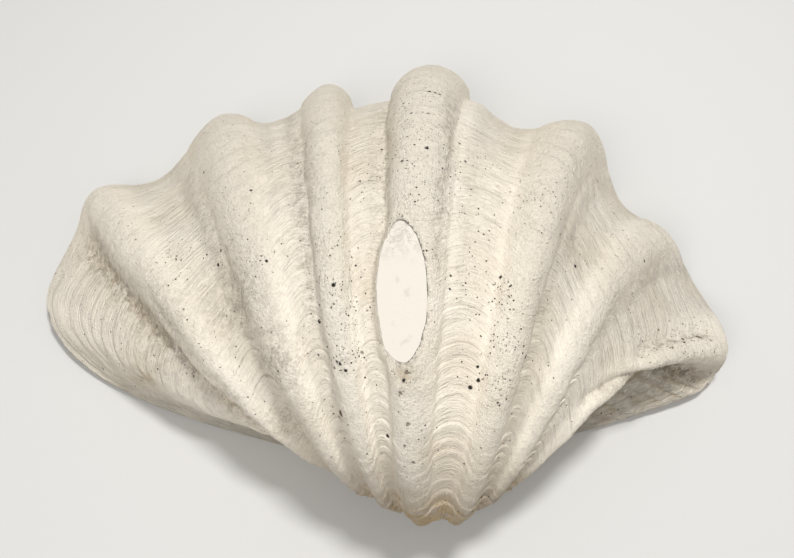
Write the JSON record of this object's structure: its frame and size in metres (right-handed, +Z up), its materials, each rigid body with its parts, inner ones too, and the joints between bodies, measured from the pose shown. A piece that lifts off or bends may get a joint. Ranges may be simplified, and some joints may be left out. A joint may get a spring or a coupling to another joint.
{
  "type": "giant clam shell",
  "caption": "Single valve of a giant clam shell with broad rounded ribs, a coiled beak and a smooth open hollow; lies hollow side down as an ornament or on its back as a bowl.",
  "frame": {"origin": "centre of the footprint's bounding box, on the surface the valve rests on, hollow side down", "axes": "+X along the length, to the right when the beak is near the viewer and the domed side is up; +Y from the beak to the open ribbed edge; +Z up, out of the domed side"},
  "size_m": [0.429, 0.312, 0.1412],
  "materials": {
    "shell": "matt chalky aragonite, off-white, with grey-brown grooves"
  },
  "bodies": {
    "root": {"clam_valve": "shell"}
  },
  "joints": []
}
